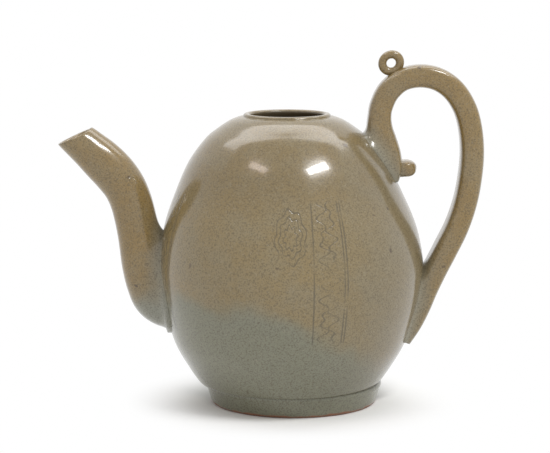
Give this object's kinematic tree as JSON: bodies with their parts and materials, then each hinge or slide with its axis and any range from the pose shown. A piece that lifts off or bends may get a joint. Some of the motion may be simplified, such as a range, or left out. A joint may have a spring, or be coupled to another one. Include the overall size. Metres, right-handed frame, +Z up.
{
  "type": "celadon ewer",
  "caption": "Ovoid stoneware ewer with a plain round mouth, a curved pouring spout, a high looped strap handle, a tie loop and a low foot ring, in grey-green celadon glaze.",
  "frame": {"origin": "on the table under the middle of the whole ewer's bounding box", "axes": "+Z up from the foot; -X towards the spout, +X towards the handle; +Y away from the viewer, across the body"},
  "size_m": [0.1882, 0.1168, 0.157],
  "materials": {
    "body_glaze": "glossy celadon glaze, olive brown above and grey green below",
    "foot_glaze": "glossy glaze with a bare reddish edge at the bottom",
    "spout_glaze": "glossy olive brown celadon glaze",
    "handle_glaze": "glossy olive brown celadon glaze, thin at the edges",
    "pooled_glaze": "glossy blue grey glaze, pooled in the joints"
  },
  "bodies": {
    "root": {"body": "body_glaze", "foot_ring": "foot_glaze", "spout": "spout_glaze", "spout_lute": "pooled_glaze", "handle_strap": "handle_glaze", "handle_upper_lute": "pooled_glaze", "handle_lower_lute": "pooled_glaze", "handle_tail": "handle_glaze", "tie_loop": "handle_glaze"}
  },
  "joints": []
}
